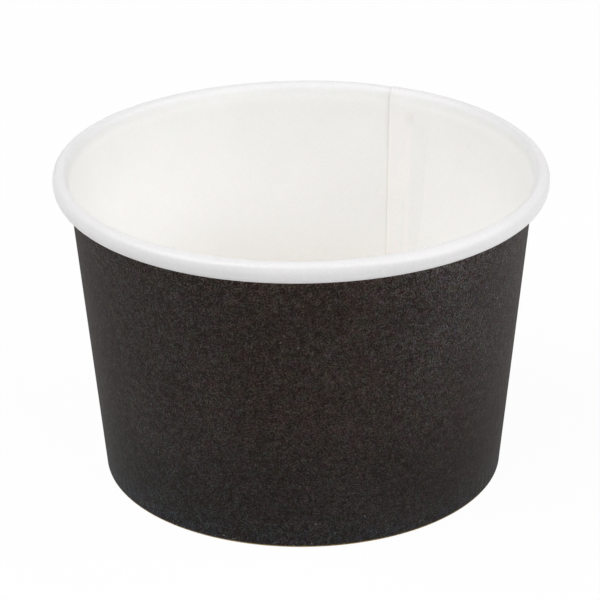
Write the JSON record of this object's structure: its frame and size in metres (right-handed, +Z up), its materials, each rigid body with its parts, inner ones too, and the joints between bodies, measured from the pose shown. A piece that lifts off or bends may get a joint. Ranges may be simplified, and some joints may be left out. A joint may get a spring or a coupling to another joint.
{
  "type": "paper ice cream cup",
  "caption": "Short round paper ice cream cup: tapered wall with a lapped side seam, rolled rim and recessed floor, black outside and white inside.",
  "frame": {"origin": "centre of the base ring, on the surface that the cup stands on", "axes": "+Z up along the cup's axis to the open mouth; the side seam lies at the back, on the +X side of +Y"},
  "size_m": [0.096, 0.096, 0.0625],
  "materials": {
    "printed_board": "matte black print outside, white coated board inside and on the rolled rim",
    "white_board": "white coated board with a soft satin sheen"
  },
  "bodies": {
    "root": {"side_wall": "printed_board", "bottom_disc": "white_board"}
  },
  "joints": []
}
